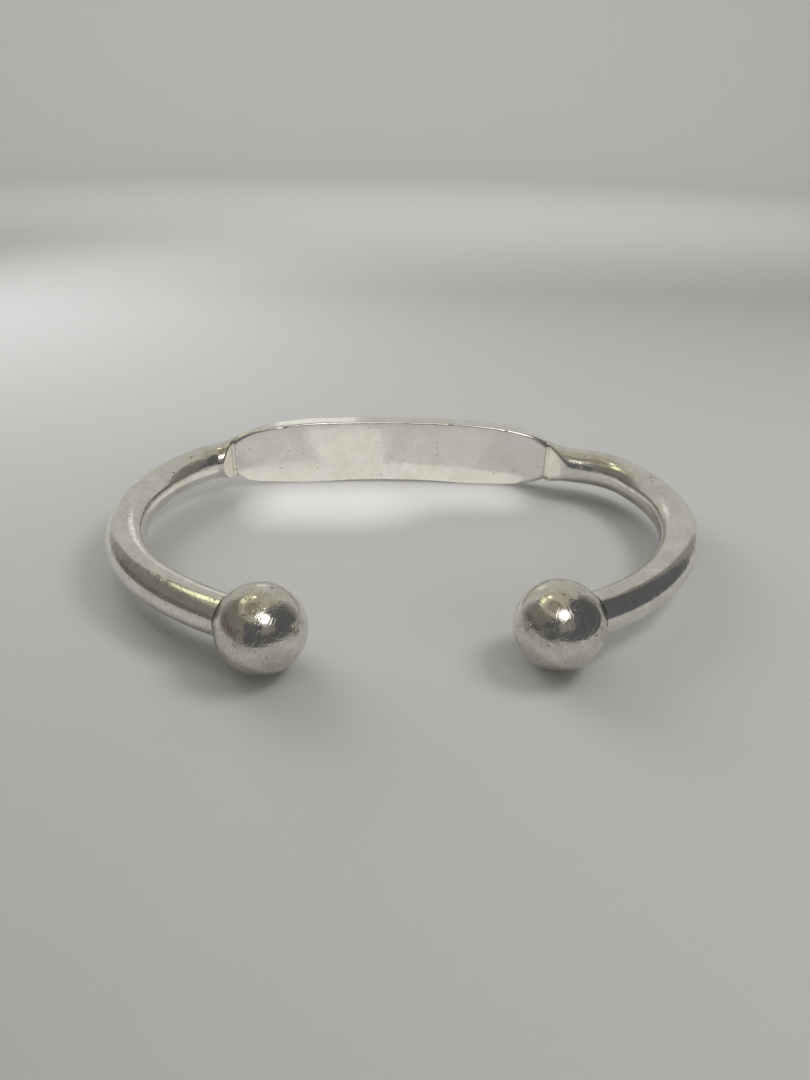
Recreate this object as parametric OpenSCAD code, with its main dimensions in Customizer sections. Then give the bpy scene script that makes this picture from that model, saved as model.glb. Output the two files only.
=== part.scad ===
// Open cuff bangle in silver. A curved plate stands at the back (+Y), a round bar is
// soldered to each end of it and bends round to the front, and each bar ends in a
// hollow ball made of two soldered cups. The bangle lies on its side, so Z is the
// height of the band, and the way in for the wrist is between the balls, at -Y.
// The origin is the middle of the bottom of the bangle's box. Sizes are millimetres.

/* [Plate] */
// Length along the outer face, from one solder joint to the other
plate_length = 44; // [40:1:46]
// Height at the middle
plate_height = 9; // [8:0.5:10]
// Height of the plate's outline at each end
plate_end_height = 6.6; // [6.2:0.2:7.2]
// Length of the middle stretch that keeps the full height
plate_flat_length = 18; // [12:1:24]
// Thickness
plate_thickness = 2.3; // [2:0.1:2.6]
// Radius of the outer face, seen from above
plate_radius = 84; // [70:1:100]

/* [Bars] */
// Diameter of the round bar where it leaves the shoulder
bar_diameter = 4.64; // [4.4:0.02:4.8]
// How much the bar's radius falls at the start of each bend and at the neck
taper_step = 0.03; // [0.02:0.01:0.04]
// Diameter of the flared end that meets the plate
shoulder_diameter = 6; // [5.6:0.1:6.2]
// Length over which the flare runs down to the bar, where the shoulder is long enough
flare_length = 3.2; // [2.8:0.1:3.6]
// Straight length from the last bend to the middle of the ball
neck_length = 5; // [4.8:0.1:6]
// Diameter of the tenon that enters the ball
tenon_diameter = 3.2; // [2.6:0.1:3.6]
// Length of tenon inside the ball's skin
tenon_reach = 1.6; // [1:0.1:2]

/* [Right arm] */
// Length of the filed facet beside the plate
right_facet_length = 3; // [2.4:0.1:3.2]
// Straight length from the plate to the first bend
right_shoulder_length = 5.4; // [4.8:0.1:6]
// Radius of the first bend
right_shoulder_radius = 8; // [6:0.5:10]
// Angle of the first bend
right_shoulder_turn = 42; // [36:1:46]
// Radius of the second bend, at the side of the wrist
right_side_radius = 19.5; // [17.5:0.5:21.5]
// Angle of the second bend
right_side_turn = 53; // [48:1:60]
// Radius of the third bend, towards the ball
right_front_radius = 25; // [20:1:30]
// Angle of the third bend
right_front_turn = 43; // [38:1:48]

/* [Left arm] */
// Length of the filed facet beside the plate
left_facet_length = 1.6; // [1.4:0.1:1.8]
// Straight length from the plate to the first bend
left_shoulder_length = 1.8; // [1.8:0.1:2.4]
// Radius of the first bend
left_shoulder_radius = 5; // [4.5:0.5:8]
// Angle of the first bend
left_shoulder_turn = 33; // [28:1:38]
// Radius of the second bend, at the side of the wrist
left_side_radius = 21; // [19:0.5:23]
// Angle of the second bend
left_side_turn = 90; // [82:1:96]
// Radius of the third bend, towards the ball
left_front_radius = 35; // [30:1:50]
// Angle of the third bend
left_front_turn = 14; // [8:1:18]

/* [Balls] */
// Diameter of each ball
ball_diameter = 9; // [8.5:0.1:9.5]
// Wall of the hollow cups
ball_wall = 0.8; // [0.6:0.1:1]

/* [Solder] */
// Thickness of the solder between the plate and each bar, and round each ball
solder_thickness = 0.12; // [0.08:0.02:0.2]
// Size of the solder fillet where the bar enters the ball
neck_fillet = 0.4; // [0.3:0.05:0.6]

/* [Hidden] */
$fn = 128;

ball_radius = ball_diameter / 2;
bar_radius = bar_diameter / 2;
shoulder_radius = shoulder_diameter / 2;
plate_half_angle = plate_length / 2 / plate_radius * 180 / PI;
// The inner face of the plate, measured outward from the bar's axis at the joint
plate_inner_offset = bar_radius - plate_thickness;

// The bar flares to the shoulder along an arc. The plate's corners carry on from the
// shoulder at the slope of a full-length flare, along a second arc, until they clear the plate.
flare_rise = shoulder_radius - bar_radius;
function flare_arc_radius(length) =
    (length * length + flare_rise * flare_rise) / (2 * flare_rise);
joint_slope = asin(flare_length / flare_arc_radius(flare_length));
corner_clearance = 0.05;
corner_radius = norm([plate_height / 2, bar_radius]) + corner_clearance;
corner_arc_radius = (corner_radius - shoulder_radius) / (1 - cos(joint_slope));
corner_length = corner_arc_radius * sin(joint_slope);

// The plate's outline, seen from the front, falls along an arc at each end.
outline_run = (plate_length - plate_flat_length) / 2;
outline_drop = (plate_height - plate_end_height) / 2;
outline_radius = (outline_run * outline_run + outline_drop * outline_drop) / (2 * outline_drop);

// The arc starts this far above the plate's edge, so that the two cross cleanly.
edge_rise = 0.02;

// The bar's outer side leaves the plate's outer face at this small angle.
flush_angle = 3;
// Each length of bar starts this far inside the one before it.
lap = 0.3;
// A size that is larger than any cut needs
beyond = 10;

// A place on a bar's axis is [x, y, heading]. The outer face of the plate passes
// through x = 0, y = 0, and these are worked out for the right-hand side.
joint = [
    (plate_radius - bar_radius) * sin(plate_half_angle),
    (plate_radius - bar_radius) * cos(plate_half_angle) - plate_radius,
    -plate_half_angle
];
function ahead(at, distance) =
    [at[0] + distance * cos(at[2]), at[1] + distance * sin(at[2]), at[2]];
function bent(at, radius, turn) = [
    at[0] + radius * (sin(at[2]) - sin(at[2] - turn)),
    at[1] - radius * (cos(at[2]) - cos(at[2] - turn)),
    at[2] - turn
];

// The shape of each arm, which the functions below it read: the length of its facet, the
// straight length at its shoulder, and its bends from the plate to the ball as [radius, angle]
right_shape = [
    right_facet_length,
    right_shoulder_length,
    [
        [right_shoulder_radius, right_shoulder_turn],
        [right_side_radius, right_side_turn],
        [right_front_radius, right_front_turn]
    ]
];
left_shape = [
    left_facet_length,
    left_shoulder_length,
    [
        [left_shoulder_radius, left_shoulder_turn],
        [left_side_radius, left_side_turn],
        [left_front_radius, left_front_turn]
    ]
];
function facet_length(shape) = shape[0];
function shoulder_length(shape) = shape[1];
function bend_count(shape) = len(shape[2]);
function bend_radius(shape, i) = shape[2][i][0];
function bend_turn(shape, i) = shape[2][i][1];

// The bar's radius in bend 0, 1 or 2, and in the neck, which is 3
function taper_radius(i) = bar_radius - (i + 1) * taper_step;
neck_radius = taper_radius(3);
function bend_start(shape, i) = i == 0
    ? ahead(joint, shoulder_length(shape))
    : bent(bend_start(shape, i - 1), bend_radius(shape, i - 1), bend_turn(shape, i - 1));
function neck_start(shape) = bend_start(shape, bend_count(shape));
function ball_place(shape) = ahead(neck_start(shape), neck_length);
// The widest point of an arm is on its second bend, where the bar heads straight forward.
function reach(shape) =
    let (side = bend_start(shape, 1))
    side[0] + bend_radius(shape, 1) * (1 + sin(side[2])) + taper_radius(1);

right_reach = reach(right_shape);
left_reach = reach(left_shape);
front_y = min(ball_place(right_shape)[1], ball_place(left_shape)[1]) - ball_radius;
centre_shift = [(left_reach - right_reach) / 2, -front_y / 2, max(plate_height, ball_diameter) / 2];

module placed() {
    translate(centre_shift) children();
}

module left_side() {
    placed() mirror([1, 0, 0]) children();
}

// Puts +X along the bar at a place on its axis, with +Y outward.
module at_place(at) {
    translate([at[0], at[1], 0]) rotate([0, 0, at[2]]) children();
}

// Spins a profile, drawn as [distance from the axis, distance along it], round the X axis.
module spun() {
    rotate([0, 90, 0]) rotate_extrude() children();
}

module rod(from, to, radius) {
    translate([from, 0, 0]) rotate([0, 90, 0]) cylinder(h = to - from, r = radius);
}

module curved_plate() {
    translate([0, -plate_radius, -plate_height / 2])
        rotate([0, 0, 90 - plate_half_angle])
            rotate_extrude(angle = 2 * plate_half_angle)
                translate([plate_radius - plate_thickness, 0])
                    square([plate_thickness, plate_height]);
}

// The upper edge's arc on the right side, as a solid below it
module edge_arc() {
    translate([plate_flat_length / 2, -beyond, plate_height / 2 - outline_radius + edge_rise])
        rotate([-90, 0, 0])
            cylinder(h = 2 * beyond, r = outline_radius, $fn = 4 * $fn);
}

// What the end outline takes off the plate's top right corner
module corner_waste() {
    difference() {
        translate([plate_flat_length / 2, -beyond, 0])
            cube([plate_length / 2, 2 * beyond, plate_height]);
        edge_arc();
    }
}

// The solid of revolution that the plate's corners follow, up to a gap from the joint
module corner_form(gap) {
    spun() intersection() {
        translate([0, -corner_length]) square([corner_radius + 1, corner_length - gap]);
        translate([corner_radius - corner_arc_radius, -corner_length]) circle(corner_arc_radius);
    }
}

// What is filed off the end of the plate
module end_waste() {
    difference() {
        translate([-corner_length, -beyond, -beyond])
            cube([corner_length + beyond, 2 * beyond, 2 * beyond]);
        corner_form(solder_thickness);
    }
}

module plate_body() {
    difference() {
        curved_plate();
        for (side = [0, 1]) mirror([side, 0, 0]) {
            corner_waste();
            mirror([0, 0, 1]) corner_waste();
            at_place(joint) end_waste();
        }
    }
}

module plate_solder() {
    at_place(joint) intersection() {
        corner_form(0);
        translate([-solder_thickness, plate_inner_offset, -beyond])
            cube([solder_thickness, plate_thickness, 2 * beyond]);
    }
}

// The bar's straight end, before it is filed: the flare, and then plain bar if there is room
module shoulder(length) {
    flared = min(length, flare_length);
    arc_radius = flare_arc_radius(flared);
    spun() difference() {
        square([bar_radius + arc_radius, flared]);
        translate([bar_radius + arc_radius, flared]) circle(arc_radius);
    }
    if (length > flared)
        rod(flared - lap, length, bar_radius - taper_step / 2);
}

// What is planed off outside, flush with the plate, and filed off inside to a facet
module shoulder_waste(length) {
    facet_angle = atan((bar_diameter - plate_thickness) / length);
    translate([0, bar_radius, -beyond])
        rotate([0, 0, flush_angle])
            cube([beyond / 2, beyond / 2, 2 * beyond]);
    translate([0, plate_inner_offset, -beyond])
        rotate([0, 0, -facet_angle])
            translate([0, -beyond, 0])
                cube([beyond / 2, beyond, 2 * beyond]);
}

module bend(at, radius, turn, bar) {
    lap_angle = lap / radius * 180 / PI;
    at_place(at)
        translate([0, -radius, 0])
            rotate([0, 0, 90 - turn])
                rotate_extrude(angle = turn + lap_angle)
                    translate([radius, 0])
                        circle(bar);
}

// The straight neck ends on the ball's surface, and its tenon goes through the cup.
module neck() {
    difference() {
        rod(-neck_length - lap, 0, neck_radius);
        sphere(ball_radius);
    }
    rod(-neck_length, -ball_radius + ball_wall + tenon_reach, tenon_diameter / 2);
}

module arm(shape) {
    difference() {
        union() {
            at_place(joint) shoulder(shoulder_length(shape));
            for (i = [0 : bend_count(shape) - 1])
                bend(bend_start(shape, i), bend_radius(shape, i), bend_turn(shape, i), taper_radius(i));
        }
        at_place(joint) shoulder_waste(facet_length(shape));
    }
    at_place(ball_place(shape)) neck();
}

// A small cone of solder in the corner between the bar and the ball
module neck_solder(shape) {
    corner = -sqrt(ball_radius * ball_radius - neck_radius * neck_radius);
    at_place(ball_place(shape)) difference() {
        spun() polygon([
            [neck_radius, corner - neck_fillet],
            [neck_radius + 2 * neck_fillet, corner + neck_fillet],
            [neck_radius, corner + neck_fillet]
        ]);
        sphere(ball_radius);
    }
}

module ball_shell() {
    difference() {
        sphere(ball_radius);
        sphere(ball_radius - ball_wall);
    }
}

// Keeps what lies on one side of the seam: side is 1 for the outer cup, -1 for the inner
module half_space(side) {
    middle = side * (beyond + solder_thickness / 2);
    translate([middle, 0, 0]) cube(2 * beyond, center = true);
}

module outer_cup(shape) {
    at_place(ball_place(shape)) intersection() {
        ball_shell();
        half_space(1);
    }
}

module inner_cup(shape) {
    at_place(ball_place(shape)) difference() {
        intersection() {
            ball_shell();
            half_space(-1);
        }
        rod(-beyond, 0, tenon_diameter / 2);
    }
}

module seam(shape) {
    half = solder_thickness / 2;
    at_place(ball_place(shape)) difference() {
        rod(-half, half, ball_radius);
        rod(-1, 1, ball_radius - ball_wall);
    }
}

module plaque() { color("silver") placed() plate_body(); }
module left_plaque_solder() { color("darkgray") left_side() plate_solder(); }
module right_plaque_solder() { color("darkgray") placed() plate_solder(); }
module left_arm() { color("gainsboro") left_side() arm(left_shape); }
module right_arm() { color("gainsboro") placed() arm(right_shape); }
module left_neck_solder() { color("dimgray") left_side() neck_solder(left_shape); }
module right_neck_solder() { color("dimgray") placed() neck_solder(right_shape); }
module left_ball_inner_cup() { color("silver") left_side() inner_cup(left_shape); }
module right_ball_inner_cup() { color("silver") placed() inner_cup(right_shape); }
module left_ball_seam() { color("gray") left_side() seam(left_shape); }
module right_ball_seam() { color("gray") placed() seam(right_shape); }
module left_ball_outer_cup() { color("silver") left_side() outer_cup(left_shape); }
module right_ball_outer_cup() { color("silver") placed() outer_cup(right_shape); }

plaque();
left_plaque_solder();
right_plaque_solder();
left_arm();
right_arm();
left_neck_solder();
right_neck_solder();
left_ball_inner_cup();
right_ball_inner_cup();
left_ball_seam();
right_ball_seam();
left_ball_outer_cup();
right_ball_outer_cup();
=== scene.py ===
"""The looks of the open cuff bangle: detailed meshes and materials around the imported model.

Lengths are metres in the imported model's frame. The opening faces -Y, the plate is at +Y, and the
bangle lies on z = 0. A place along a bar is a distance from its joint with the plate. In a section
across a bar or the plate, "out" is away from the wrist and "up" is +Z.
"""

import math

import bmesh
import bpy
import numpy as np
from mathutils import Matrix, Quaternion, Vector, noise


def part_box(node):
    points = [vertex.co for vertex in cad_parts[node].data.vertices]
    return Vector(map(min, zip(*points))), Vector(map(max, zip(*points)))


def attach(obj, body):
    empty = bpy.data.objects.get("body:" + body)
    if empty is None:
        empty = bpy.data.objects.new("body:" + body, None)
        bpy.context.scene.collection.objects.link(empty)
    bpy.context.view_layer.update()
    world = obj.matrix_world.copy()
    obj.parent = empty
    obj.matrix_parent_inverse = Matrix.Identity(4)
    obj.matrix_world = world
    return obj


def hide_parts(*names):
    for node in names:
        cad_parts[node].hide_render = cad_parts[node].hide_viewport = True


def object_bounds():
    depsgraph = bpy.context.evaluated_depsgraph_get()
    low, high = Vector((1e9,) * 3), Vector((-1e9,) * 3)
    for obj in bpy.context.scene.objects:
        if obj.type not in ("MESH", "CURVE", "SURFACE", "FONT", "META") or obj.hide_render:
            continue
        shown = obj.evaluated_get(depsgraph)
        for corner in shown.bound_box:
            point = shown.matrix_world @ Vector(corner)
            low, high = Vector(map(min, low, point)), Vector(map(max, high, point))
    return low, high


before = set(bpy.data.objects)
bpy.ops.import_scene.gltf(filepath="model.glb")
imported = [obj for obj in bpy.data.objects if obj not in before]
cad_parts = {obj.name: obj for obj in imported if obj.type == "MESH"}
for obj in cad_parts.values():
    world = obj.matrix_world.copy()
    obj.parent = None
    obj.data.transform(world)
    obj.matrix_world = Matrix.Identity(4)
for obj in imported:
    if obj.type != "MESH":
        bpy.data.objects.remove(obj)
cad_low, cad_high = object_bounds()

MM = 0.001

# The plate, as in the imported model
PLATE_LENGTH = 44 * MM
PLATE_FLAT_LENGTH = 18 * MM
PLATE_END_HEIGHT = 6.6 * MM
PLATE_THICKNESS = 2.3 * MM
PLATE_RADIUS = 84 * MM
PLATE_EDGE_ROUND = 0.3 * MM
JOINT_EDGE_ROUND = 1.1 * MM
JOINT_EDGE_RUN = 4.5 * MM
CORNER_CLEARANCE = 0.05 * MM
OUTLINE_BLEND = 0.25 * MM

# The bars
BAR_RADIUS = 2.32 * MM
NECK_RADIUS = 2.2 * MM
SHOULDER_RADIUS = 3 * MM
FLARE_LENGTH = 3.2 * MM
NECK_LENGTH = 5 * MM
FLUSH_ANGLE = math.radians(3)
FACET_ROUND = 0.1 * MM
JOINT_BLEND = 0.7 * MM
BEND_EASE = 4 * MM
TENON_RADIUS = 1.6 * MM
TENON_REACH = 1.6 * MM

# Each arm: which side it is on, the length of its facet, the straight length at its shoulder,
# and its bends as (radius, degrees)
ARMS = {
    "right": (1, 3 * MM, 5.4 * MM, [(8 * MM, 42), (19.5 * MM, 53), (25 * MM, 43)]),
    "left": (-1, 1.6 * MM, 1.8 * MM, [(5 * MM, 33), (21 * MM, 90), (35 * MM, 14)]),
}

# The balls and the solder
BALL_WALL = 0.8 * MM
SOLDER_THICKNESS = 0.12 * MM
SOLDER_SINK = 0.002 * MM
SEAM_SINK = 0.001 * MM
NECK_FILLET = 0.4 * MM
FILLET_BITE = 0.02 * MM
FILLET_ROOT = 0.1 * MM

# How far the surfaces wander from true, as on work finished by hand, the size of their bumps,
# and how far from the solder joints the wander of the plate and bars fades in
BAR_WAVER, BAR_BUMP = 0.035 * MM, 6 * MM
BALL_WAVER, BALL_BUMP = 0.03 * MM, 3.2 * MM
PLATE_WAVER, PLATE_BUMP = 0.02 * MM, 7 * MM
WAVER_FADE = 3 * MM

# What all the silver has in common
WORN_SHADE = 0.78
PIT_COLOUR = (0.12, 0.10, 0.09)
PIT_DEPTH = 0.014 * MM
SWELL_DEPTH = 0.012 * MM
BRUSHED_DEPTH = 0.0015 * MM

# The camera, which looks down from in front at a point given from the middle of the plate
CAMERA_LENS = 27.03
CAMERA_SENSOR = 36
CAMERA_DISTANCE = 92.4 * MM
CAMERA_ELEVATION = math.radians(29.97)
CAMERA_YAW = math.radians(-1.41)
CAMERA_ROLL = math.radians(1.14)
CAMERA_AIM_OFFSET = Vector((1.648, -26.914, 0)) * MM

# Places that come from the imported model
plate_low, plate_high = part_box("plaque")
PLATE_HEIGHT = plate_high.z - plate_low.z
MIDDLE_X = (plate_low.x + plate_high.x) / 2
BACK_Y = plate_high.y
MIDDLE_Z = (cad_low.z + cad_high.z) / 2
BALL_RADIUS = (cad_high.z - cad_low.z) / 2
PLATE_HALF_ANGLE = PLATE_LENGTH / 2 / PLATE_RADIUS

# How far the plate's inner face and its middle are out from the bars' axis
INNER_FACE = BAR_RADIUS - PLATE_THICKNESS
PLATE_MIDDLE = BAR_RADIUS - PLATE_THICKNESS / 2


# ---------------------------------------------------------------- camera


def make_camera():
    camera = bpy.data.objects.new("camera", bpy.data.cameras.new("camera"))
    bpy.context.scene.collection.objects.link(camera)
    camera.data.lens = CAMERA_LENS
    camera.data.sensor_width = CAMERA_SENSOR
    camera.data.clip_start = 5 * MM
    camera.data.clip_end = 5
    back = Vector((
        math.sin(CAMERA_YAW) * math.cos(CAMERA_ELEVATION),
        -math.cos(CAMERA_YAW) * math.cos(CAMERA_ELEVATION),
        math.sin(CAMERA_ELEVATION),
    ))
    plate_middle = Vector((MIDDLE_X, BACK_Y, MIDDLE_Z))
    camera.location = plate_middle + CAMERA_AIM_OFFSET + CAMERA_DISTANCE * back
    camera.rotation_mode = "QUATERNION"
    level = (-back).to_track_quat("-Z", "Y")
    camera.rotation_quaternion = level @ Quaternion((0, 0, 1), CAMERA_ROLL)
    bpy.context.scene.camera = camera


# ---------------------------------------------------------------- mesh tools


def mesh_object(name, points, faces, sharp_degrees=40):
    """A smooth-shaded object with outward normals, and sharp edges where faces meet steeply."""
    mesh = bpy.data.meshes.new(name)
    mesh.from_pydata([tuple(p) for p in points], [], faces)
    made = bpy.data.objects.new(name, mesh)
    bpy.context.scene.collection.objects.link(made)
    work = bmesh.new()
    work.from_mesh(mesh)
    bmesh.ops.recalc_face_normals(work, faces=work.faces)
    work.to_mesh(mesh)
    work.free()
    mesh.shade_smooth()
    mesh.set_sharp_from_angle(angle=math.radians(sharp_degrees))
    return made


def loft(name, rings):
    """A closed skin over rings that have the same number of points, with a flat cap at each end."""
    count = len(rings[0])
    points = np.concatenate(rings)
    faces = []
    for start in range(0, len(points) - count, count):
        for i in range(count):
            j = (i + 1) % count
            faces.append((start + i, start + j, start + count + j, start + count + i))
    faces.append(tuple(range(count)))
    faces.append(tuple(range(len(points) - count, len(points))))
    return mesh_object(name, points, faces)


def soft_min(a, b, blend):
    """The lesser of a and b, with the corner between them rounded."""
    return (a + b - np.sqrt((a - b) ** 2 + blend**2)) / 2


def waver(points, directions, depth, size, seed):
    """Points moved along unit directions by smooth noise whose bumps are about size across."""
    offset = Vector((seed * 17.3, seed * 5.1, seed * 9.7))
    height = np.array([
        noise.noise(Vector(p) / size + offset) + 0.4 * noise.noise(Vector(p) * 2.7 / size + offset)
        for p in points
    ])
    return points + directions * (depth * height)[:, None]


def dented(points, dents):
    """Points pushed in near each dent of (place, push, radius), under a tenth as far at its radius."""
    for place, push, radius in dents:
        near = np.linalg.norm(points - np.array(place), axis=1) / radius
        points = points + np.exp(-((near * 1.6) ** 2))[:, None] * np.array(push)
    return points


# ---------------------------------------------------------------- the plate


def plate_point(along, out, up):
    """A point of the plate: along its outer face from the middle, out from the bars' axis, and up."""
    angle = along / PLATE_RADIUS
    reach = PLATE_RADIUS - BAR_RADIUS + out
    return (
        MIDDLE_X + reach * np.sin(angle),
        BACK_Y - PLATE_RADIUS + reach * np.cos(angle),
        MIDDLE_Z + up,
    )


def flare_arc():
    """The radius of the arc along which the bar flares, and its slope at the joint."""
    rise = SHOULDER_RADIUS - BAR_RADIUS
    radius = (FLARE_LENGTH**2 + rise**2) / (2 * rise)
    return radius, math.asin(FLARE_LENGTH / radius)


def side_height(along, out):
    """Half the plate's height at a distance along it and out from the bars' axis."""
    run = (PLATE_LENGTH - PLATE_FLAT_LENGTH) / 2
    drop = (PLATE_HEIGHT - PLATE_END_HEIGHT) / 2
    arc = (run**2 + drop**2) / (2 * drop)
    past_flat = np.maximum(abs(along) - PLATE_FLAT_LENGTH / 2, 0)
    outline = PLATE_HEIGHT / 2 - arc + np.sqrt(arc**2 - past_flat**2)
    full = math.hypot(PLATE_HEIGHT / 2, BAR_RADIUS) + CORNER_CLEARANCE
    slope = flare_arc()[1]
    corner_arc = (full - SHOULDER_RADIUS) / (1 - math.cos(slope))
    corner_run = corner_arc * math.sin(slope)
    to_full = np.maximum(corner_run - (PLATE_LENGTH / 2 - abs(along)), 0)
    round_part = full - corner_arc + np.sqrt(corner_arc**2 - to_full**2)
    return soft_min(outline, np.sqrt(round_part**2 - out**2), OUTLINE_BLEND)


def corner_curve(before, corner, after, count):
    """Points that round a corner, from the last point before it to the first one after it."""
    t = (np.arange(count) / count)[:, None]
    return (1 - t) ** 2 * before + 2 * t * (1 - t) * corner + t**2 * after


def plate_section(along, edge_round):
    """The plate's outline across it, as (out, up) points, with its four long edges rounded."""
    outer, inner = BAR_RADIUS, INNER_FACE
    side_out = np.linspace(outer, inner, 21)
    side = np.stack([side_out, side_height(along, side_out)], axis=1)
    length = np.concatenate([[0], np.cumsum(np.linalg.norm(np.diff(side, axis=0), axis=1))])
    spots = np.linspace(edge_round, length[-1] - edge_round, 14)
    side_run = np.stack([np.interp(spots, length, side[:, k]) for k in (0, 1)], axis=1)
    outer_top = np.array([outer, side[0, 1] - edge_round])
    inner_top = np.array([inner, side[-1, 1] - edge_round])
    half = np.concatenate([
        corner_curve(outer_top, side[0], side_run[0], 7),
        side_run,
        corner_curve(side_run[-1], side[-1], inner_top, 7)[1:],
        [inner_top],
    ])
    face = np.linspace(1, -1, 41)[1:-1, None]
    inner_face = np.hstack([np.full_like(face, inner), face * inner_top[1]])
    outer_face = np.hstack([np.full_like(face, outer), -face * outer_top[1]])
    lower = (half * (1, -1))[::-1]
    return np.concatenate([half, inner_face, lower, outer_face])


def plate_ring(along, shrink=0):
    """The plate's outline as points, rounder near its ends and drawn in all round by shrink."""
    near = max(1 - (PLATE_LENGTH / 2 - abs(along)) / JOINT_EDGE_RUN, 0)
    edge_round = PLATE_EDGE_ROUND + (JOINT_EDGE_ROUND - PLATE_EDGE_ROUND) * near**2
    section = plate_section(along, edge_round)
    radial = section - np.array([PLATE_MIDDLE, 0])
    radial /= np.linalg.norm(radial, axis=1)[:, None]
    section = section - shrink * radial
    return np.stack(plate_point(along, section[:, 0], section[:, 1]), axis=1)


def nick(along, out, up, depth, radius):
    """A small dent in an edge of the plate, pushed towards the plate's middle line."""
    place = plate_point(along, out, up)
    inside = plate_point(along, PLATE_MIDDLE, 0)
    push = Vector(inside) - Vector(place)
    return place, tuple(push.normalized() * depth), radius


EDGE_NICKS = [
    nick(-15.2 * MM, INNER_FACE, 4.2 * MM, 0.14 * MM, 0.5 * MM),
    nick(-9.0 * MM, INNER_FACE, 4.5 * MM, 0.05 * MM, 0.4 * MM),
    nick(-2.5 * MM, BAR_RADIUS, 4.5 * MM, 0.06 * MM, 0.5 * MM),
    nick(3.8 * MM, INNER_FACE, -4.5 * MM, 0.06 * MM, 0.4 * MM),
    nick(8.1 * MM, INNER_FACE, 4.5 * MM, 0.06 * MM, 0.3 * MM),
    nick(12.4 * MM, BAR_RADIUS, 4.3 * MM, 0.08 * MM, 0.5 * MM),
    nick(16.0 * MM, INNER_FACE, 3.9 * MM, 0.07 * MM, 0.4 * MM),
    nick(-12.0 * MM, INNER_FACE, -4.3 * MM, 0.08 * MM, 0.4 * MM),
]


def make_plaque():
    end = PLATE_LENGTH / 2 - SOLDER_THICKNESS
    fine_until = end - 5 * MM
    half = np.concatenate([np.linspace(end, fine_until, 50)[:-1], np.linspace(fine_until, 0, 60)])
    stations = np.concatenate([-half, half[:-1][::-1]])
    rings = []
    for along in stations:
        ring = plate_ring(along)
        middle = np.array(plate_point(along, PLATE_MIDDLE, 0))
        out = ring - middle
        # The wander is turned towards level, across the plate rather than up or down
        out[:, 2] *= 0.25
        out /= np.linalg.norm(out, axis=1)[:, None]
        depth = PLATE_WAVER * min((end - abs(along)) / WAVER_FADE, 1)
        ring = waver(ring, out, depth, PLATE_BUMP, 1)
        rings.append(dented(ring, EDGE_NICKS))
    return loft("plaque_blank", rings)


def make_plaque_solder(side_name):
    side = ARMS[side_name][0]
    stations = [PLATE_LENGTH / 2 - SOLDER_THICKNESS * share for share in (1, 0.5, 0)]
    rings = [plate_ring(side * along, shrink=SOLDER_SINK) for along in stations]
    return loft(f"{side_name}_plate_solder_line", rings)


# ---------------------------------------------------------------- the bars


def bar_axis(side_name):
    """A bar's axis as arrays: distances along it, points, and headings from +X, or -X on the left."""
    side, _, shoulder_length, bends = ARMS[side_name]
    stretches = [(shoulder_length, 0)]
    stretches += [(radius * math.radians(turn), -1 / radius) for radius, turn in bends]
    stretches += [(NECK_LENGTH, 0)]
    lengths, curvatures = np.array(stretches).T
    step = 0.02 * MM
    distance = np.arange(0, lengths.sum(), step)
    stretch = np.searchsorted(np.cumsum(lengths), distance, side="right")
    curvature = curvatures[np.minimum(stretch, len(lengths) - 1)]
    window = np.hanning(int(BEND_EASE / step) | 1)
    eased = np.convolve(np.pad(curvature, len(window) // 2, "edge"), window / window.sum(), "valid")
    heading = -PLATE_HALF_ANGLE + np.cumsum(eased) * step
    axis_radius = PLATE_RADIUS - BAR_RADIUS
    x = axis_radius * math.sin(PLATE_HALF_ANGLE) + np.cumsum(np.cos(heading)) * step
    y = axis_radius * math.cos(PLATE_HALF_ANGLE) - PLATE_RADIUS + np.cumsum(np.sin(heading)) * step
    points = np.stack([MIDDLE_X + side * x, BACK_Y + y, np.full_like(x, MIDDLE_Z)], axis=1)
    # Easing the bends moves the far end a little, so the axis is brought back to the ball
    miss = np.array(ball_middle(side_name)) - points[-1]
    points += miss * (distance / distance[-1])[:, None]
    return distance, points, heading


def ball_middle(side_name):
    """The middle of a ball, from the boxes of its two cups."""
    boxes = [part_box(f"{side_name}_ball_{cup}_cup") for cup in ("inner", "outer")]
    low = [min(b[0][i] for b in boxes) for i in range(3)]
    high = [max(b[1][i] for b in boxes) for i in range(3)]
    return (Vector(low) + Vector(high)) / 2


def axis_frame(side_name, axis, distance):
    """The point on a bar's axis at a distance, and the unit vectors along it and out from it."""
    distances, points, heading = axis
    side = ARMS[side_name][0]
    place = np.array([np.interp(distance, distances, points[:, k]) for k in range(3)])
    turn = np.interp(distance, distances, heading)
    along = np.array([side * math.cos(turn), math.sin(turn), 0])
    out = np.array([-side * math.sin(turn), math.cos(turn), 0])
    return place, along, out


def bar_radius(distance, full_length):
    """The bar's radius: the flare at the plate, then an even taper to the neck."""
    taper = (distance - FLARE_LENGTH) / (full_length - FLARE_LENGTH)
    radius = BAR_RADIUS + (NECK_RADIUS - BAR_RADIUS) * max(taper, 0)
    if distance < FLARE_LENGTH:
        arc = flare_arc()[0]
        radius += arc - math.sqrt(arc**2 - (FLARE_LENGTH - distance) ** 2)
    return radius


def distance_round(section, middle, turn):
    """How far a section's outline is from a point inside it, in each direction of turn."""
    x, y = (section - middle).T
    return np.interp(turn, np.arctan2(y, x), np.hypot(x, y), period=2 * math.pi)


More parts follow.
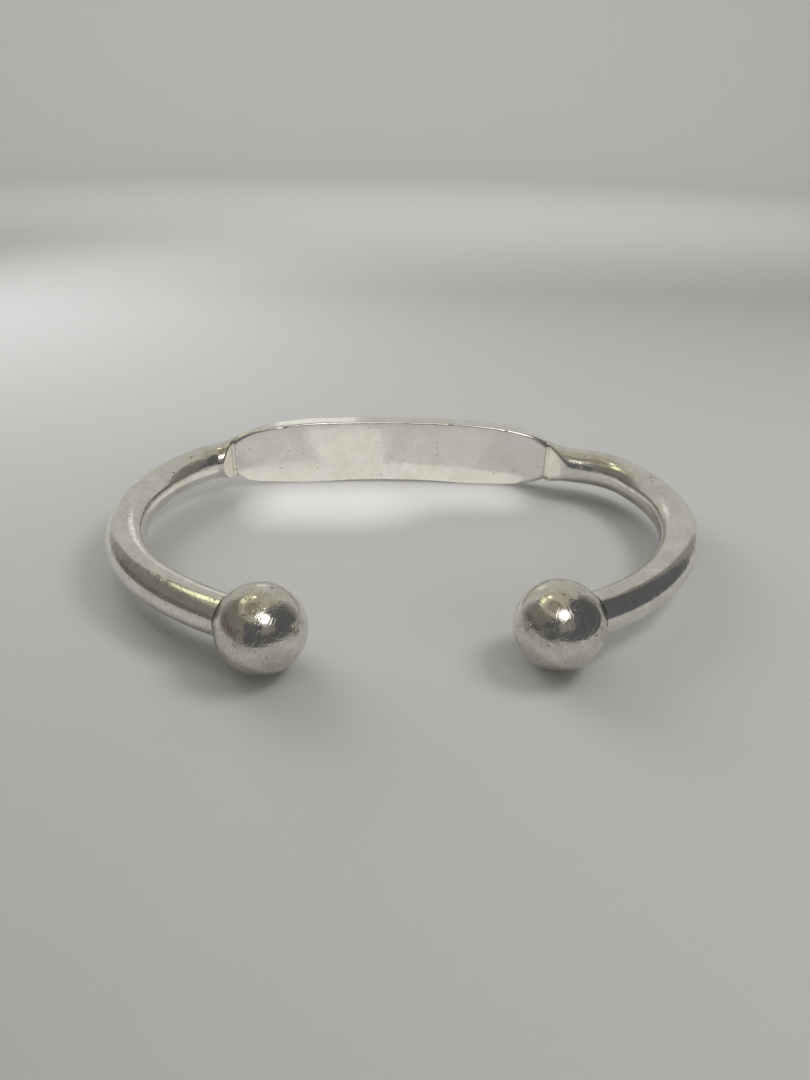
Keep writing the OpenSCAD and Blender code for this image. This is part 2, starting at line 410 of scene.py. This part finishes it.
def make_arm(side_name):
    """A bar whose section changes smoothly from that of the plate's end to a filed round."""
    side, facet_length = ARMS[side_name][:2]
    plate_end = plate_section(PLATE_LENGTH / 2, JOINT_EDGE_ROUND)
    plate_middle = np.array([PLATE_MIDDLE, 0])
    axis = bar_axis(side_name)
    ball_at = axis[0][-1]
    neck_end = ball_at - math.sqrt(BALL_RADIUS**2 - NECK_RADIUS**2)
    facet_slope = (2 * BAR_RADIUS - PLATE_THICKNESS) / facet_length
    turn = np.linspace(0, 2 * math.pi, 144, endpoint=False)
    circle = np.stack([np.cos(turn), np.sin(turn)], axis=1)
    fine_until = 4.5 * MM
    stations = np.concatenate([
        np.linspace(0, fine_until, 60)[:-1],
        np.linspace(fine_until, neck_end, 230),
    ])
    rings = []
    for distance in stations:
        place, along, out = axis_frame(side_name, axis, distance)
        section = circle * bar_radius(distance, ball_at)
        outer = BAR_RADIUS + distance * math.tan(FLUSH_ANGLE)
        inner = INNER_FACE - distance * facet_slope
        section[:, 0] = soft_min(section[:, 0], outer, FACET_ROUND)
        section[:, 0] = -soft_min(-section[:, 0], -inner, 5 * FACET_ROUND)
        near = max(1 - distance / JOINT_BLEND, 0)
        near = near**2 * (3 - 2 * near)
        middle = near * plate_middle
        far = distance_round(section, middle, turn)
        if near > 0:
            far = (1 - near) * far + near * distance_round(plate_end, middle, turn)
        section = middle + far[:, None] * circle
        ring = place + section[:, :1] * out + section[:, 1:] * np.array([0, 0, 1])
        radial = circle[:, :1] * out + circle[:, 1:] * np.array([0, 0, 1])
        depth = BAR_WAVER * min(distance / WAVER_FADE, 1)
        ring = waver(ring, radial, depth, BAR_BUMP, 3 + side)
        rings.append(ring)
    for radius, reach in [
        (TENON_RADIUS, math.sqrt(BALL_RADIUS**2 - TENON_RADIUS**2)),
        (TENON_RADIUS, BALL_RADIUS - BALL_WALL - TENON_REACH),
    ]:
        place, along, out = axis_frame(side_name, axis, ball_at - reach)
        rings.append(place + radius * (circle[:, :1] * out + circle[:, 1:] * np.array([0, 0, 1])))
    return loft(f"{side_name}_bar", rings)


# ---------------------------------------------------------------- the balls


def revolved(name, profile, side_name, closed, count=160):
    """A profile of (along, radius) points, turned round the bar's axis at the ball's middle."""
    axis = bar_axis(side_name)
    _, along, out = axis_frame(side_name, axis, axis[0][-1])
    place = np.array(ball_middle(side_name))
    up = np.array([0, 0, 1])
    turn = np.linspace(0, 2 * math.pi, count, endpoint=False)
    points, rows = [], []
    for reach, radius in profile:
        if radius < 1e-9:
            rows.append([len(points)])
            points.append(place + reach * along)
        else:
            rows.append(list(range(len(points), len(points) + count)))
            points += [
                place + reach * along + radius * (math.cos(a) * out + math.sin(a) * up) for a in turn
            ]
    faces = []
    following = rows[1:] + rows[:1] if closed else rows[1:]
    for a, b in zip(rows, following):
        for i in range(count):
            j = (i + 1) % count
            corners = [a[i % len(a)], a[j % len(a)], b[j % len(b)], b[i % len(b)]]
            faces.append(tuple(dict.fromkeys(corners)))
    points = np.array(points)
    from_middle = points - place
    far = np.linalg.norm(from_middle, axis=1)
    outside = far > BALL_RADIUS - BALL_WALL / 2
    radial = from_middle / far[:, None]
    seed = 7 + ARMS[side_name][0]
    points[outside] = waver(points[outside], radial[outside], BALL_WAVER, BALL_BUMP, seed)
    return mesh_object(name, points, faces, 50)


def sphere_arc(radius, start, end, count):
    """Points on a sphere's profile from one angle to another, where 0 is away from the bar."""
    angles = np.linspace(start, end, count)
    return [(radius * math.cos(a), max(radius * math.sin(a), 0)) for a in angles]


def make_outer_cup(side_name):
    inside = BALL_RADIUS - BALL_WALL
    half = SOLDER_THICKNESS / 2
    profile = sphere_arc(BALL_RADIUS, 0, math.acos(half / BALL_RADIUS), 80)
    profile += sphere_arc(inside, math.acos(half / inside), 0, 30)
    profile[0], profile[-1] = (BALL_RADIUS, 0), (inside, 0)
    return revolved(f"{side_name}_ball_outer_half", profile, side_name, closed=False)


def make_inner_cup(side_name):
    inside = BALL_RADIUS - BALL_WALL
    half = SOLDER_THICKNESS / 2
    hole_outside = math.pi - math.asin(TENON_RADIUS / BALL_RADIUS)
    hole_inside = math.pi - math.asin(TENON_RADIUS / inside)
    profile = sphere_arc(BALL_RADIUS, math.acos(-half / BALL_RADIUS), hole_outside, 60)
    profile += sphere_arc(inside, hole_inside, math.acos(-half / inside), 24)
    return revolved(f"{side_name}_ball_inner_half", profile, side_name, closed=True)


def make_seam(side_name):
    half = SOLDER_THICKNESS / 2
    outside = BALL_RADIUS - SEAM_SINK
    inside = BALL_RADIUS - BALL_WALL
    profile = [(-half, outside), (half, outside), (half, inside), (-half, inside)]
    return revolved(f"{side_name}_ball_seam_line", profile, side_name, closed=True)


def make_neck_solder(side_name):
    """A hollow-sided ring of solder in the corner between the bar and the ball."""
    corner = -math.sqrt(BALL_RADIUS**2 - NECK_RADIUS**2)
    start = (corner - NECK_FILLET, NECK_RADIUS - FILLET_BITE)
    spread = math.asin((NECK_RADIUS + NECK_FILLET) / BALL_RADIUS)
    end = (-BALL_RADIUS * math.cos(spread), BALL_RADIUS * math.sin(spread))
    middle = (corner, NECK_RADIUS + FILLET_BITE)
    curve = corner_curve(np.array(start), np.array(middle), np.array(end), 10)
    root = BALL_RADIUS - FILLET_ROOT
    inner = [
        (-root * math.cos(spread), root * math.sin(spread)),
        (corner + FILLET_ROOT, NECK_RADIUS - FILLET_ROOT),
        (start[0], start[1] - FILLET_ROOT),
    ]
    profile = [tuple(p) for p in curve] + [end] + inner
    return revolved(f"{side_name}_neck_solder_fillet", profile, side_name, closed=True)


# ---------------------------------------------------------------- materials


class Nodes:
    """Short calls for building a material's node tree."""

    def __init__(self, name):
        self.material = bpy.data.materials.new(name)
        self.material.use_nodes = True
        self.tree = self.material.node_tree
        self.shader = self.tree.nodes["Principled BSDF"]

    def add(self, kind, inputs=None, **settings):
        made = self.tree.nodes.new(kind)
        for key, value in settings.items():
            setattr(made, key, value)
        for key, value in (inputs or {}).items():
            self.put(made.inputs[key], value)
        return made

    def put(self, socket, value):
        if isinstance(value, bpy.types.NodeSocket):
            self.tree.links.new(value, socket)
        else:
            socket.default_value = value

    def millimetres(self, stretch=(1, 1, 1), turn=(0, 0, 0)):
        place = self.add("ShaderNodeTexCoord").outputs["Object"]
        scale = tuple(s / MM for s in stretch)
        turned = self.add("ShaderNodeMapping", {"Vector": place, "Rotation": turn})
        return self.add(
            "ShaderNodeMapping", {"Vector": turned.outputs[0], "Scale": scale}
        ).outputs[0]

    def noise(self, scale, detail=2, vector=None):
        vector = vector or self.millimetres()
        return self.add(
            "ShaderNodeTexNoise", {"Vector": vector, "Scale": scale, "Detail": detail}
        ).outputs[0]

    def math(self, operation, a, b=0.0):
        return self.add("ShaderNodeMath", {0: a, 1: b}, operation=operation).outputs[0]

    def spread(self, value, low, high, to_low=0.0, to_high=1.0):
        return self.add(
            "ShaderNodeMapRange",
            {"Value": value, "From Min": low, "From Max": high, "To Min": to_low, "To Max": to_high},
        ).outputs[0]

    def blend(self, share, a, b):
        mixed = self.add("ShaderNodeMix", data_type="RGBA")
        self.put(mixed.inputs["Factor"], share)
        self.put(mixed.inputs[6], a)
        self.put(mixed.inputs[7], b)
        return mixed.outputs[2]

    def scratches(self, spacing, length, width, turn):
        """Sparse thin lines: 1 in a scratch and 0 elsewhere."""
        vector = self.millimetres((1 / spacing, 1 / length, 1 / length), turn)
        edge = self.add(
            "ShaderNodeTexVoronoi", {"Vector": vector, "Scale": 1.0}, feature="DISTANCE_TO_EDGE"
        ).outputs["Distance"]
        return self.spread(edge, width, 0.0)

    def pits(self, spacing, size, share, stretch=(1, 1, 1)):
        """Small pits: 1 in a pit and 0 elsewhere. share is how many of the spots have one."""
        spots = self.add(
            "ShaderNodeTexVoronoi",
            {"Vector": self.millimetres(stretch), "Scale": 1 / spacing, "Randomness": 1.0},
        )
        chosen = self.math("LESS_THAN", self.add(
            "ShaderNodeSeparateColor", {0: spots.outputs["Color"]}
        ).outputs[0], share)
        return self.math("MULTIPLY", self.spread(spots.outputs["Distance"], size, size * 0.4), chosen)

    def bump(self, height, depth, under=None):
        made = self.add("ShaderNodeBump", {"Height": height, "Strength": 1.0, "Distance": depth})
        if under is not None:
            self.put(made.inputs["Normal"], under)
        return made.outputs[0]


def silver(name, light, dark, roughness, pit_share, wear, scratch_depth, ripple):
    """Polished silver with patches of dulling, fine scratches, small pits and short dashes."""
    n = Nodes(name)
    cloud = n.noise(0.35, 4)
    fine_cloud = n.noise(2.2, 5)
    mottle = n.noise(1.1, 6)
    scratch = n.math(
        "ADD",
        n.scratches(0.9, 7, 0.025, (0.3, 0.5, 0.9)),
        n.scratches(0.6, 5, 0.03, (1.2, 0.2, 2.1)),
    )
    round_pits = n.math("ADD", n.pits(0.75, 0.2, pit_share), n.pits(0.4, 0.2, pit_share))
    dashes = n.math(
        "ADD",
        n.pits(0.62, 0.2, pit_share, (0.4, 0.4, 1.7)),
        n.pits(0.45, 0.18, pit_share, (1.6, 0.4, 0.9)),
    )
    pit = n.math(
        "ADD",
        n.math("MULTIPLY", round_pits, n.spread(n.noise(0.45, 2), 0.38, 0.55)),
        n.math("MULTIPLY", dashes, n.spread(n.noise(0.38, 2), 0.4, 0.52)),
    )
    worn = [WORN_SHADE * part for part in dark]
    tone = n.blend(n.spread(cloud, 0.35, 0.7), (*light, 1), (*dark, 1))
    tone = n.blend(n.spread(mottle, 0.42, 0.72, 0.0, 4 * wear), tone, (*worn, 1))
    tone = n.blend(n.math("MULTIPLY", pit, 0.5), tone, (*PIT_COLOUR, 1))
    n.put(n.shader.inputs["Base Color"], tone)
    n.put(n.shader.inputs["Metallic"], 1.0)
    rough = n.spread(fine_cloud, 0.3, 0.75, roughness, roughness + wear)
    rough = n.math("ADD", rough, n.spread(mottle, 0.45, 0.75, 0.0, wear))
    rough = n.math("ADD", rough, n.math("MULTIPLY", scratch, 30 * scratch_depth / MM))
    rough = n.math("ADD", rough, n.math("MULTIPLY", pit, 0.3))
    n.put(n.shader.inputs["Roughness"], rough)
    brushed = n.noise(3.0, 3, n.millimetres((6, 0.8, 0.8), (0.2, 0.4, 0.7)))
    normal = n.bump(n.noise(0.9, 3), SWELL_DEPTH)
    normal = n.bump(n.noise(4.0, 3), ripple, normal)
    normal = n.bump(brushed, BRUSHED_DEPTH, normal)
    normal = n.bump(scratch, -scratch_depth, normal)
    normal = n.bump(pit, -PIT_DEPTH, normal)
    n.put(n.shader.inputs["Normal"], normal)
    return n.material


def solder(name, light, dark, roughness, bump_depth):
    """Solder in blotches of two tones, each with its own roughness."""
    n = Nodes(name)
    blotch = n.noise(4.0, 4)
    tone = n.blend(n.spread(blotch, 0.35, 0.65), (*light, 1), (*dark, 1))
    n.put(n.shader.inputs["Base Color"], tone)
    n.put(n.shader.inputs["Metallic"], 1.0)
    n.put(n.shader.inputs["Roughness"], n.spread(blotch, 0.3, 0.7, roughness, roughness + 0.25))
    n.put(n.shader.inputs["Normal"], n.bump(n.noise(5.0, 4), bump_depth))
    return n.material


def make_finishes():
    """Each material slot's finish."""
    return {
        "plate_silver": silver(
            "plate_silver",
            light=(0.97, 0.955, 0.93),
            dark=(0.90, 0.87, 0.83),
            roughness=0.09,
            pit_share=0.07,
            wear=0.05,
            scratch_depth=0.0008 * MM,
            ripple=0.0014 * MM,
        ),
        "bar_silver": silver(
            "bar_silver",
            light=(0.92, 0.90, 0.855),
            dark=(0.79, 0.76, 0.705),
            roughness=0.07,
            pit_share=0.4,
            wear=0.09,
            scratch_depth=0.003 * MM,
            ripple=0.0022 * MM,
        ),
        "ball_silver": silver(
            "ball_silver",
            light=(0.86, 0.83, 0.77),
            dark=(0.71, 0.675, 0.615),
            roughness=0.055,
            pit_share=0.8,
            wear=0.12,
            scratch_depth=0.004 * MM,
            ripple=0.004 * MM,
        ),
        "hard_solder": solder(
            "hard_solder",
            light=(0.90, 0.875, 0.83),
            dark=(0.78, 0.75, 0.69),
            roughness=0.14,
            bump_depth=0.003 * MM,
        ),
        "tarnished_solder": solder(
            "tarnished_solder",
            light=(0.32, 0.30, 0.265),
            dark=(0.12, 0.11, 0.10),
            roughness=0.35,
            bump_depth=0.03 * MM,
        ),
    }


# ---------------------------------------------------------------- the stage


def stage_disc(name, rows, material, count=128):
    """A surface of revolution about Z, from rows of (radius, height), with its middle filled."""
    points, faces = [], []
    for radius, height in rows:
        for i in range(count):
            angle = 2 * math.pi * i / count
            points.append((radius * math.cos(angle), radius * math.sin(angle), height))
    for row in range(len(rows) - 1):
        for i in range(count):
            j = (i + 1) % count
            a = row * count
            faces.append((a + i, a + count + i, a + count + j, a + j))
    faces.append(tuple(range(count)))
    mesh = bpy.data.meshes.new(name)
    mesh.from_pydata(points, [], faces)
    mesh.shade_smooth()
    made = bpy.data.objects.new(name, mesh)
    bpy.context.scene.collection.objects.link(made)
    made.data.materials.append(material)


def plain_material(name, colour, roughness, glow=None):
    """A matt material, which can also shine evenly by itself."""
    n = Nodes(name)
    n.shader.inputs["Base Color"].default_value = (*colour, 1)
    n.shader.inputs["Roughness"].default_value = roughness
    n.shader.inputs["Specular IOR Level"].default_value = 0.2
    if glow:
        n.shader.inputs["Emission Color"].default_value = (*glow, 1)
        n.shader.inputs["Emission Strength"].default_value = 1
    return n.material


def card_material(name, glow):
    """A card's material: black, and shining evenly by itself."""
    return plain_material(name, (0, 0, 0), 0.9, glow)


def only_reflected(made):
    """Makes a card show in reflections and nowhere else."""
    made.visible_camera = False
    made.visible_shadow = False
    made.visible_diffuse = False


def flat_card(name, corners, material):
    """A flat card like those of a photographer's studio."""
    mesh = bpy.data.meshes.new(name)
    mesh.from_pydata([Vector(c) * MM for c in corners], [], [(0, 1, 2, 3)])
    made = bpy.data.objects.new(name, mesh)
    bpy.context.scene.collection.objects.link(made)
    made.data.materials.append(material)
    only_reflected(made)
    return made


def upright_card(name, start, end, bottom, top, material):
    """A card that stands over the line from start to end, which are (x, y)."""
    corners = [(*start, bottom), (*end, bottom), (*end, top), (*start, top)]
    flat_card(name, corners, material)


def level_card(name, low, high, height, material):
    """A level card over the box from low to high, which are (x, y)."""
    corners = [(*low, height), (high[0], low[1], height), (*high, height), (low[0], high[1], height)]
    flat_card(name, corners, material)


def aimed(made, middle, facing):
    """Puts a thing at middle, with its -Z side towards facing."""
    made.location = Vector(middle) * MM
    made.rotation_mode = "QUATERNION"
    made.rotation_quaternion = (made.location - Vector(facing) * MM).to_track_quat("Z", "Y")


def glow_card(name, middle, facing, width, height, brightness, colour):
    """An oval card that shines in reflections, brightest in the middle and fading to its edge."""
    half_width, half_height = width / 2 * MM, height / 2 * MM
    mesh = bpy.data.meshes.new(name)
    corners = [(-1, -1), (1, -1), (1, 1), (-1, 1)]
    mesh.from_pydata([(x * half_width, y * half_height, 0) for x, y in corners], [], [(0, 1, 2, 3)])
    made = bpy.data.objects.new(name, mesh)
    bpy.context.scene.collection.objects.link(made)
    aimed(made, middle, facing)
    n = Nodes(name)
    place = n.add("ShaderNodeTexCoord").outputs["Object"]
    scaled = n.add("ShaderNodeMapping", {
        "Vector": place, "Scale": (1 / half_width, 1 / half_height, 1)
    }).outputs[0]
    fade = n.add("ShaderNodeTexGradient", {"Vector": scaled}, gradient_type="SPHERICAL").outputs[1]
    shine = n.add("ShaderNodeEmission", {
        "Color": (*colour, 1), "Strength": n.spread(fade, 0.0, 0.45, 0.0, brightness)
    })
    clear = n.add("ShaderNodeBsdfTransparent")
    mixed = n.add("ShaderNodeMixShader", {
        0: n.spread(fade, 0.0, 0.3), 1: clear.outputs[0], 2: shine.outputs[0]
    })
    n.put(n.tree.nodes["Material Output"].inputs["Surface"], mixed.outputs[0])
    made.data.materials.append(n.material)
    only_reflected(made)


def soft_light(name, middle, facing, width, height, brightness, colour=(1, 1, 1), spread=180):
    """A rectangular lamp that isn't seen in reflections.

    At brightness 1 it is as bright as the picture's white, and brighter where its spread is narrow.
    """
    lamp = bpy.data.lights.new(name, "AREA")
    lamp.shape = "RECTANGLE"
    lamp.size, lamp.size_y = width * MM, height * MM
    lamp.energy = brightness * math.pi * lamp.size * lamp.size_y
    lamp.color = colour
    lamp.spread = math.radians(spread)
    made = bpy.data.objects.new(name, lamp)
    bpy.context.scene.collection.objects.link(made)
    aimed(made, middle, facing)
    made.visible_camera = False
    made.visible_glossy = False


def make_floor():
    """Pale paper that is level out to a radius, then bends up into a wall all round."""
    paper = plain_material("floor_paper", (0.56, 0.56, 0.555), 0.85)
    radius, bend, top = 420 * MM, 120 * MM, 600 * MM
    arc = np.linspace(0, math.pi / 2, 17)
    rows = [(radius * share, 0) for share in (0.25, 0.5, 0.75)]
    rows += [(radius + bend * math.sin(a), bend * (1 - math.cos(a))) for a in arc]
    rows += [(radius + bend, top)]
    stage_disc("floor", rows, paper)


def make_cards():
    """What the silver mirrors, in millimetres: dark things in front, a pale room and lit paper."""
    dark = card_material("dark_card", (0.095, 0.097, 0.103))
    brown = card_material("brown_card", (0.13, 0.11, 0.09))
    grey = card_material("grey_card", (0.235, 0.225, 0.195))
    pale = card_material("pale_card", (0.47, 0.47, 0.43))
    white = card_material("white_card", (0.80, 0.80, 0.74))
    light = card_material("lit_paper_reflection_card", (0.66, 0.64, 0.58))
    mild = card_material("dim_paper_reflection_card", (0.515, 0.50, 0.465))
    front = flat_card("card_front", [(-2, -111, 0), (-63, -108, 0), (-61, -74, 62), (0, -76, 62)], dark)
    # This one card also shades the floor
    front.visible_shadow = True
    front.visible_diffuse = True
    flat_card("card_low_front", [(-61, -108, 0.3), (0, -111, 0.3), (1, -50, 0.3), (-60, -48, 0.3)], dark)
    upright_card("card_low_right", (0, -108), (38, -68), 0, 30, dark)
    upright_card("card_right", (37, -67), (81, 16), 0, 200, dark)
    upright_card("card_far_front", (-420, -380), (420, -400), 0, 330, grey)
    upright_card("card_left", (-205, -190), (-295, 112), 0, 75, brown)
    upright_card("card_back", (-260, 190), (260, 190), 0, 260, pale)
    upright_card("card_back_right", (90, 189), (260, 189), 260, 380, pale)
    upright_card("card_window", (-56, 188), (-14, 188), 50, 100, white)
    # Glowing cards just above the floor, seen only in reflections: a painted reflection of lit paper
    # inside the bangle, in front of the plate
    level_card("card_floor_near", (-21, 16), (16, 21.5), 0.1, light)
    level_card("card_floor_near_left", (-22, 13.8), (-10.5, 21), 0.1, light)
    level_card("card_floor_left", (-10.5, 2), (-2.5, 16), 0.2, light)
    level_card("card_floor_far", (-19, 2), (9, 16), 0.1, mild)


def make_glows():
    """The lamp in front, which shows in both balls, and the room's yellowish and brown light."""
    middle = (0, 0, 0)
    glow_card("glow_back_left", (-68, 78, 220), middle, 50, 34, 2.2, (1, 0.93, 0.66))
    glow_card("shade_above", (-80, -60, 300), middle, 220, 170, 0.27, (1, 0.88, 0.68))
    glow_card("glow_left", (-132, 63, 198), middle, 110, 80, 1.3, (0.97, 1, 0.66))
    glow_card("glow_front", (14.5, -77, 98), (-2, -18, 4), 50, 52, 5.0, (1, 0.99, 0.94))


def make_lamps():
    """Broad lamps for the floor and the wall, and two narrow ones for the light off the plate."""
    cool, neutral = (0.97, 0.99, 1), (1, 1, 0.98)
    soft_light("lamp_top", (-20, 20, 290), (0, 0, 0), 300, 300, 0.25, cool)
    soft_light("lamp_right", (140, 0, 210), (0, 0, 0), 90, 90, 7.2, cool)
    soft_light("lamp_back_left", (-110, 110, 100), (-40, 30, 0), 120, 120, 2.9, (0.95, 0.98, 1))
    soft_light("lamp_front", (140, -200, 110), (0, -20, 0), 240, 60, 2.4)
    soft_light("lamp_wall", (0, 190, 200), (0, 500, 120), 500, 60, 8.0)
    soft_light("lamp_plate", (-2, -32, 46), (-2, 18, 0), 36, 3, 1.5, neutral, spread=8)
    soft_light("lamp_plate_left", (-10, -38, 46), (-10, 12.8, 0), 20, 2.6, 1.3, neutral, spread=8)


def make_world():
    world = bpy.data.worlds.new("room")
    bpy.context.scene.world = world
    world.use_nodes = True
    background = world.node_tree.nodes["Background"]
    background.inputs["Color"].default_value = (0.40, 0.38, 0.31, 1)
    background.inputs["Strength"].default_value = 1.0
    bpy.context.scene.view_settings.view_transform = "Standard"


# ---------------------------------------------------------------- everything together

FINISHES = make_finishes()


def fit(piece, node, slot):
    """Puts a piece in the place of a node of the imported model, with the finish of its slot."""
    piece.data.materials.append(FINISHES[slot])
    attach(piece, "root")
    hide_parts(node)


make_camera()
make_world()
make_floor()
make_cards()
make_glows()
make_lamps()
fit(make_plaque(), "plaque", "plate_silver")
for side_name in ARMS:
    fit(make_plaque_solder(side_name), f"{side_name}_plaque_solder", "hard_solder")
    fit(make_arm(side_name), f"{side_name}_arm", "bar_silver")
    fit(make_neck_solder(side_name), f"{side_name}_neck_solder", "tarnished_solder")
    fit(make_inner_cup(side_name), f"{side_name}_ball_inner_cup", "ball_silver")
    fit(make_seam(side_name), f"{side_name}_ball_seam", "hard_solder")
    fit(make_outer_cup(side_name), f"{side_name}_ball_outer_cup", "ball_silver")
